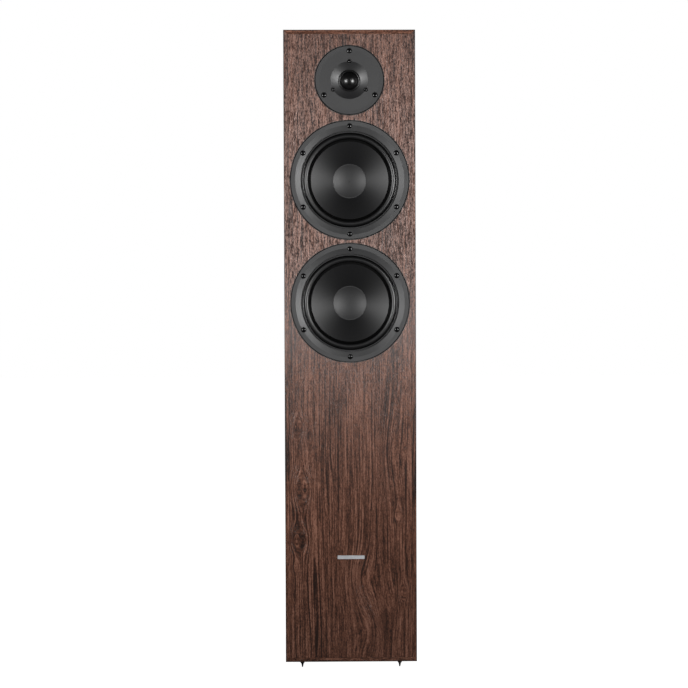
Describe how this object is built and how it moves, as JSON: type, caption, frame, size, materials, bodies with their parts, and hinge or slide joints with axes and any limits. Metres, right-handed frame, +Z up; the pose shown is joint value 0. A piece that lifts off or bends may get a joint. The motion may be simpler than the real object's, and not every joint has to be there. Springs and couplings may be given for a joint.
{
  "type": "floorstanding speaker",
  "caption": "Tall slim floorstanding loudspeaker: folded cabinet, cone woofers, soft dome tweeter, rear port, screw-down binding posts and adjustable spikes.",
  "frame": {"origin": "on the floor plane at the spike tips, under the middle of the cabinet", "axes": "+Z up, front baffle and drivers face -Y, terminals face +Y, +X to the right seen from the front"},
  "size_m": [0.204, 0.2924, 0.994],
  "materials": {
    "walnut_foil": "satin",
    "inner_fibreboard": "matte",
    "fibre_wadding": "matte",
    "black_plastic": "satin",
    "badge_metal": "satin",
    "zinc_steel": "satin",
    "black_steel": "satin",
    "gilt_brass": "satin",
    "red_cap_plastic": "gloss",
    "black_cap_plastic": "gloss",
    "circuit_board": "satin",
    "copper_wire": "satin",
    "film_capacitor": "satin",
    "cement_resistor": "matte",
    "lead_insulation": "satin",
    "charcoal_frame": "satin",
    "faceplate_plastic": "satin",
    "black_rubber": "satin",
    "cone_paper": "matte",
    "cap_fibre": "matte",
    "coated_silk": "satin",
    "spider_cloth": "matte",
    "motor_steel": "satin",
    "ferrite": "matte",
    "sealing_foam": "matte"
  },
  "bodies": {
    "cabinet": {"side_panel_left": "walnut_foil", "side_panel_right": "walnut_foil", "top_panel": "walnut_foil", "bottom_panel": "walnut_foil", "front_baffle": "walnut_foil", "rear_panel": "walnut_foil", "upper_brace": "inner_fibreboard", "lower_brace": "inner_fibreboard", "damping_wadding": "fibre_wadding", "port_tube": "black_plastic", "name_badge": "badge_metal", "spike_inserts": "zinc_steel", "terminal_cup": "black_plastic", "terminal_cup_screws": "black_steel", "post_stud_red": "gilt_brass", "post_stud_black": "gilt_brass", "post_nuts": "zinc_steel", "crossover_board": "circuit_board", "crossover_inductors": "copper_wire", "crossover_capacitors": "film_capacitor", "crossover_resistors": "cement_resistor", "wiring_loom": "lead_insulation", "tweeter_faceplate": "faceplate_plastic", "tweeter_surround": "coated_silk", "tweeter_top_plate": "motor_steel", "tweeter_magnet": "ferrite", "tweeter_yoke": "motor_steel", "tweeter_rear_chamber": "black_plastic", "tweeter_mounting_screws": "black_steel", "tweeter_assembly_screws": "black_steel", "upper_woofer_basket": "charcoal_frame", "upper_woofer_surround": "black_rubber", "upper_woofer_spider": "spider_cloth", "upper_woofer_top_plate": "motor_steel", "upper_woofer_magnet": "ferrite", "upper_woofer_yoke": "motor_steel", "lower_woofer_basket": "charcoal_frame", "lower_woofer_surround": "black_rubber", "lower_woofer_spider": "spider_cloth", "lower_woofer_top_plate": "motor_steel", "lower_woofer_magnet": "ferrite", "lower_woofer_yoke": "motor_steel", "woofer_screws": "black_steel", "woofer_gaskets": "sealing_foam"},
    "upper_woofer_moving": {"upper_woofer_cone": "cone_paper", "upper_woofer_dust_cap": "cap_fibre", "upper_woofer_voice_coil": "copper_wire"},
    "lower_woofer_moving": {"lower_woofer_cone": "cone_paper", "lower_woofer_dust_cap": "cap_fibre", "lower_woofer_voice_coil": "copper_wire"},
    "tweeter_moving": {"tweeter_dome": "coated_silk", "tweeter_voice_coil": "copper_wire"},
    "spike_front_left": {"spike_front_left": "black_steel"},
    "spike_front_right": {"spike_front_right": "black_steel"},
    "spike_rear_left": {"spike_rear_left": "black_steel"},
    "spike_rear_right": {"spike_rear_right": "black_steel"},
    "post_core_red": {"post_core_red": "gilt_brass"},
    "post_cap_red": {"post_cap_red": "red_cap_plastic"},
    "post_core_black": {"post_core_black": "gilt_brass"},
    "post_cap_black": {"post_cap_black": "black_cap_plastic"}
  },
  "joints": [
    {"name": "upper_woofer_stroke", "type": "slide", "parent": "cabinet", "child": "upper_woofer_moving", "axis": [0, -1, 0], "range_m": [-0.006, 0.006], "stiffness_N_per_m": 1000, "deforming": ["upper_woofer_surround", "upper_woofer_spider"]},
    {"name": "lower_woofer_stroke", "type": "slide", "parent": "cabinet", "child": "lower_woofer_moving", "axis": [0, -1, 0], "range_m": [-0.006, 0.006], "stiffness_N_per_m": 1000, "deforming": ["lower_woofer_surround", "lower_woofer_spider"]},
    {"name": "tweeter_stroke", "type": "slide", "parent": "cabinet", "child": "tweeter_moving", "axis": [0, -1, 0], "range_m": [-0.0004, 0.0004], "stiffness_N_per_m": 1000, "deforming": ["tweeter_surround"]},
    {"name": "spike_front_left_height", "type": "slide", "parent": "cabinet", "child": "spike_front_left", "axis": [0, 0, -1], "range_m": [0, 0.008]},
    {"name": "spike_front_right_height", "type": "slide", "parent": "cabinet", "child": "spike_front_right", "axis": [0, 0, -1], "range_m": [0, 0.008]},
    {"name": "spike_rear_left_height", "type": "slide", "parent": "cabinet", "child": "spike_rear_left", "axis": [0, 0, -1], "range_m": [0, 0.008]},
    {"name": "spike_rear_right_height", "type": "slide", "parent": "cabinet", "child": "spike_rear_right", "axis": [0, 0, -1], "range_m": [0, 0.008]},
    {"name": "red_post_travel", "type": "slide", "parent": "cabinet", "child": "post_core_red", "axis": [0, 1, 0], "range_m": [0, 0.006]},
    {"name": "red_post_turn", "type": "hinge", "parent": "post_core_red", "child": "post_cap_red", "pos_m": [0.02, 0.1354, 0.16], "axis": [0, 1, 0], "range_deg": [0, 2160]},
    {"name": "black_post_travel", "type": "slide", "parent": "cabinet", "child": "post_core_black", "axis": [0, 1, 0], "range_m": [0, 0.006]},
    {"name": "black_post_turn", "type": "hinge", "parent": "post_core_black", "child": "post_cap_black", "pos_m": [-0.02, 0.1354, 0.16], "axis": [0, 1, 0], "range_deg": [0, 2160]}
  ],
  "couplings": [
    {"joint": "red_post_turn", "follows": "red_post_travel", "rad_per_m": 6283.2},
    {"joint": "black_post_turn", "follows": "black_post_travel", "rad_per_m": 6283.2}
  ]
}
